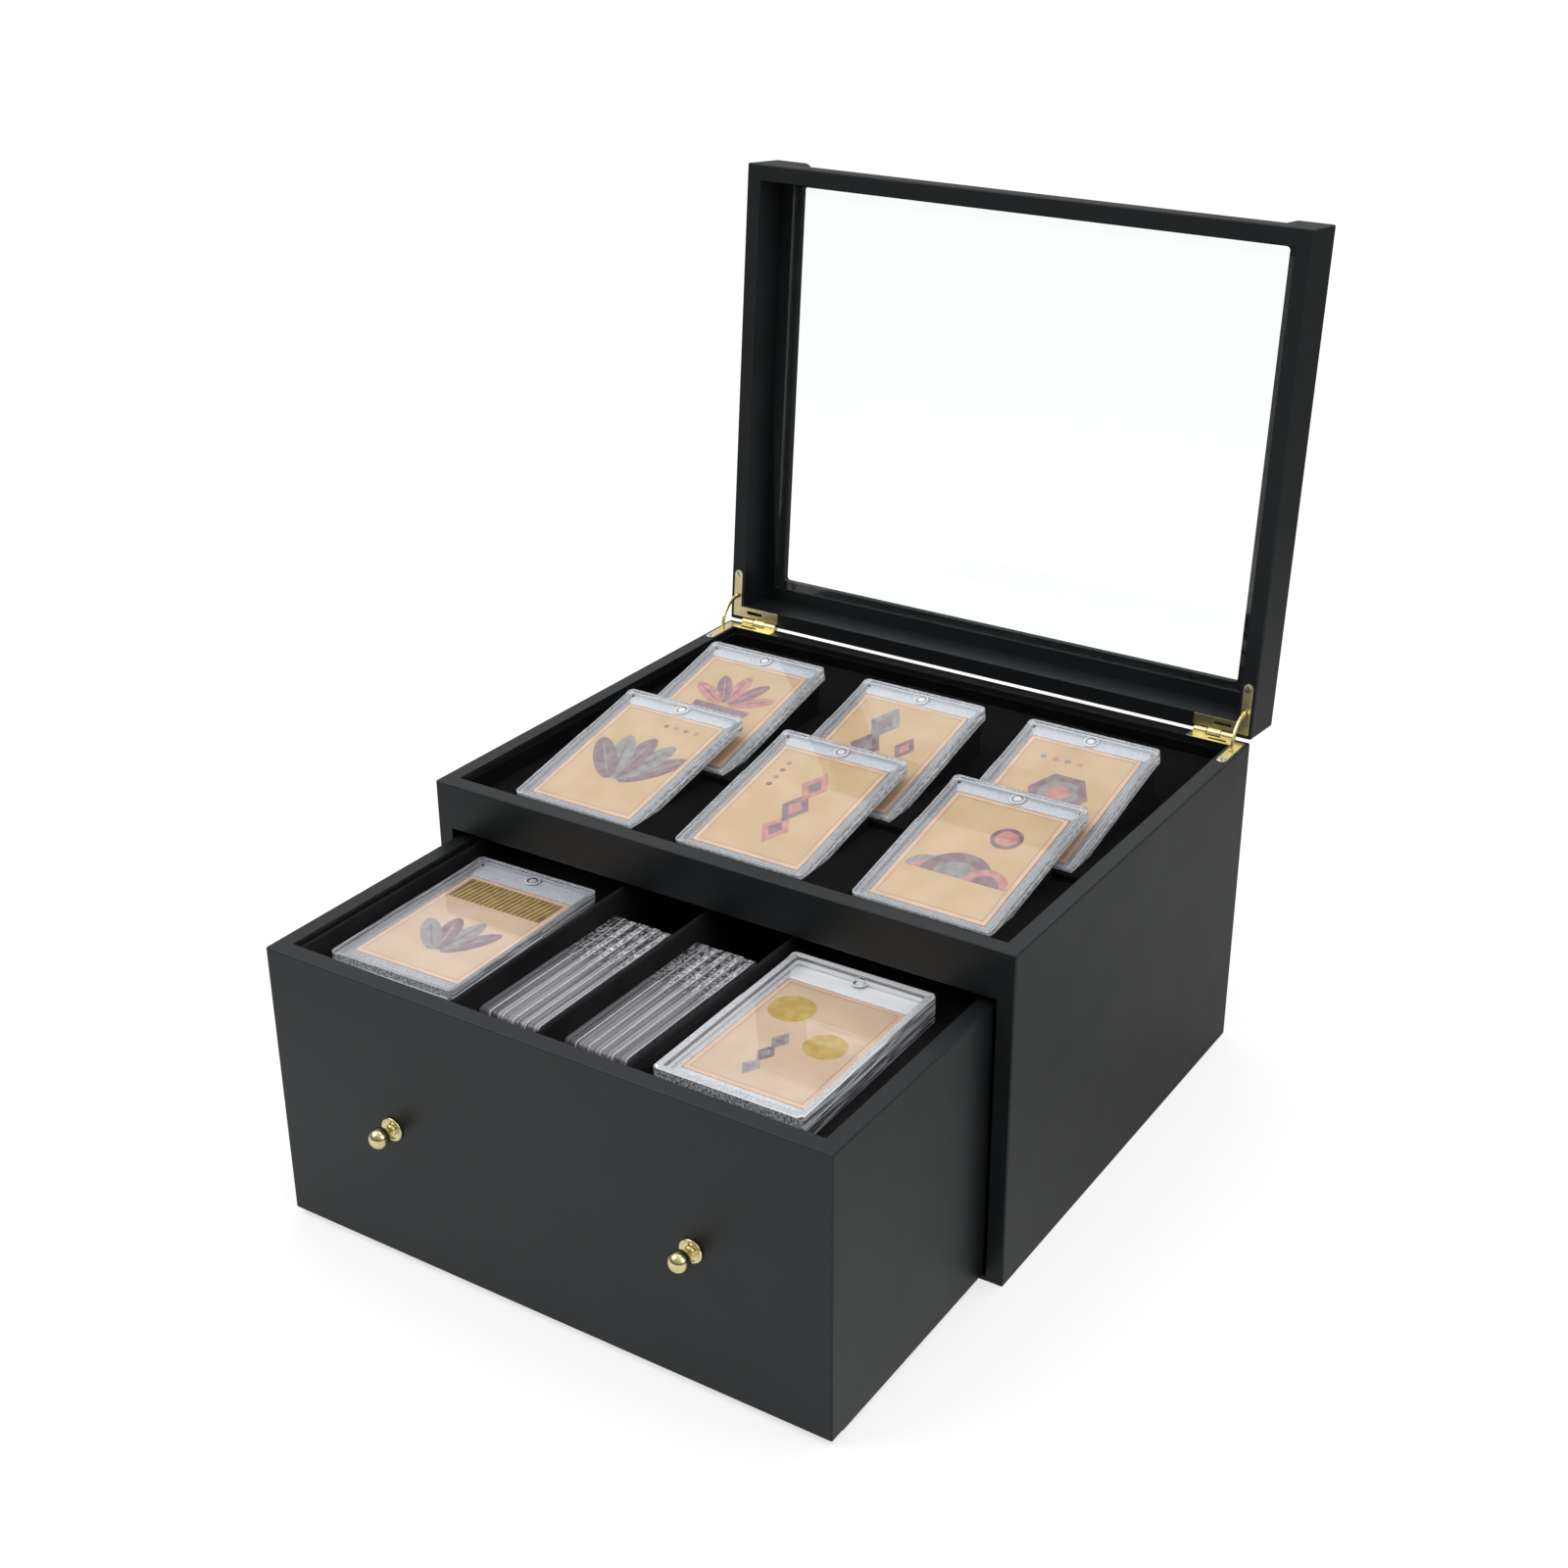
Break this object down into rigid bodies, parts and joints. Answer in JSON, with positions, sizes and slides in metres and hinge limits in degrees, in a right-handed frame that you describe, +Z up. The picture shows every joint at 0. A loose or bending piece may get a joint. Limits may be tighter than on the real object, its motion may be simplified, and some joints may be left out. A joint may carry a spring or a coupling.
{
  "type": "card display box",
  "caption": "Painted wooden card display box with a glazed hinged lid, a velvet tray of cards in clear cases and a pull-out drawer with dividers.",
  "frame": {"origin": "centre of the box's underside, where it stands on the table", "axes": "+X to the right seen from the front, +Y towards the lid's hinges at the back, +Z up; the drawer opens towards -Y"},
  "size_m": [0.34, 0.4781, 0.454],
  "materials": {
    "black_paint": "satin",
    "black_velvet": "matte",
    "polished_brass": "polished",
    "clear_plastic": "gloss",
    "clear_glass": "gloss",
    "printed_card": "satin"
  },
  "bodies": {
    "carcass": {"side_left": "black_paint", "side_right": "black_paint", "back_panel": "black_paint", "front_rail": "black_paint", "base_panel": "black_paint", "tray_floor": "black_paint", "tray_liner": "black_velvet", "display_ramps": "black_velvet", "display_bed": "black_velvet", "hinge_base_leaf_left": "polished_brass", "hinge_base_leaf_right": "polished_brass"},
    "lid": {"lid_side_left": "black_paint", "lid_side_right": "black_paint", "lid_rear_rail": "black_paint", "lid_front_rail": "black_paint", "lid_face_frame": "black_paint", "lid_pane": "clear_glass", "hinge_lid_leaf_left": "polished_brass", "hinge_lid_leaf_right": "polished_brass"},
    "stay_left": {"hinge_stay_left": "polished_brass"},
    "stay_right": {"hinge_stay_right": "polished_brass"},
    "drawer": {"drawer_front": "black_paint", "drawer_side_left": "black_paint", "drawer_side_right": "black_paint", "drawer_back": "black_paint", "drawer_bottom": "black_paint", "drawer_liner": "black_velvet", "drawer_former": "black_velvet", "drawer_divider_left": "black_velvet", "drawer_divider_middle": "black_velvet", "drawer_divider_right": "black_velvet", "knob_left": "polished_brass", "knob_right": "polished_brass"},
    "front_left_case": {"front_left_case_base": "clear_plastic", "front_left_case_cover": "clear_plastic", "front_left_card": "printed_card"},
    "front_middle_case": {"front_middle_case_base": "clear_plastic", "front_middle_case_cover": "clear_plastic", "front_middle_card": "printed_card"},
    "front_right_case": {"front_right_case_base": "clear_plastic", "front_right_case_cover": "clear_plastic", "front_right_card": "printed_card"},
    "back_left_case": {"back_left_case_base": "clear_plastic", "back_left_case_cover": "clear_plastic", "back_left_card": "printed_card"},
    "back_middle_case": {"back_middle_case_base": "clear_plastic", "back_middle_case_cover": "clear_plastic", "back_middle_card": "printed_card"},
    "back_right_case": {"back_right_case_base": "clear_plastic", "back_right_case_cover": "clear_plastic", "back_right_card": "printed_card"},
    "drawer_left_case": {"drawer_left_case_base": "clear_plastic", "drawer_left_case_cover": "clear_plastic", "drawer_left_card": "printed_card"},
    "drawer_right_case": {"drawer_right_case_base": "clear_plastic", "drawer_right_case_cover": "clear_plastic", "drawer_right_card": "printed_card"},
    "standing_left": {"standing_cases_left": "clear_plastic"},
    "standing_right": {"standing_cases_right": "clear_plastic"}
  },
  "joints": [
    {"name": "lid_hinge", "type": "hinge", "parent": "carcass", "child": "lid", "pos_m": [0, 0.136, 0.1837], "axis": [-1, 0, 0], "range_deg": [-95.3, 0]},
    {"name": "stay_left_hinge", "type": "hinge", "parent": "carcass", "child": "stay_left", "pos_m": [-0.16525, 0.136, 0.1837], "axis": [-1, 0, 0], "range_deg": [-47.65, 0]},
    {"name": "stay_right_hinge", "type": "hinge", "parent": "carcass", "child": "stay_right", "pos_m": [0.16525, 0.136, 0.1837], "axis": [-1, 0, 0], "range_deg": [-47.65, 0]},
    {"name": "drawer_slide", "type": "slide", "parent": "carcass", "child": "drawer", "axis": [0, -1, 0], "range_m": [-0.1365, 0.06]},
    {"name": "front_left_lift", "type": "slide", "parent": "carcass", "child": "front_left_case", "axis": [0, 0, 1], "range_m": [0, 0.04]},
    {"name": "front_middle_lift", "type": "slide", "parent": "carcass", "child": "front_middle_case", "axis": [0, 0, 1], "range_m": [0, 0.04]},
    {"name": "front_right_lift", "type": "slide", "parent": "carcass", "child": "front_right_case", "axis": [0, 0, 1], "range_m": [0, 0.04]},
    {"name": "back_left_lift", "type": "slide", "parent": "carcass", "child": "back_left_case", "axis": [0, 0.9728, 0.2317], "range_m": [0, 0.036]},
    {"name": "back_middle_lift", "type": "slide", "parent": "carcass", "child": "back_middle_case", "axis": [0, 0.9728, 0.2317], "range_m": [0, 0.036]},
    {"name": "back_right_lift", "type": "slide", "parent": "carcass", "child": "back_right_case", "axis": [0, 0.9728, 0.2317], "range_m": [0, 0.036]},
    {"name": "drawer_left_lift", "type": "slide", "parent": "drawer", "child": "drawer_left_case", "axis": [0, -0.4472, 0.8944], "range_m": [0, 0.04]},
    {"name": "drawer_right_lift", "type": "slide", "parent": "drawer", "child": "drawer_right_case", "axis": [0, -0.4217, 0.9068], "range_m": [0, 0.04]},
    {"name": "standing_left_lift", "type": "slide", "parent": "drawer", "child": "standing_left", "axis": [0, 0, 1], "range_m": [0, 0.08]},
    {"name": "standing_right_lift", "type": "slide", "parent": "drawer", "child": "standing_right", "axis": [0, 0, 1], "range_m": [0, 0.08]}
  ],
  "couplings": [
    {"joint": "stay_left_hinge", "follows": "lid_hinge", "ratio": 0.5},
    {"joint": "stay_right_hinge", "follows": "lid_hinge", "ratio": 0.5}
  ]
}
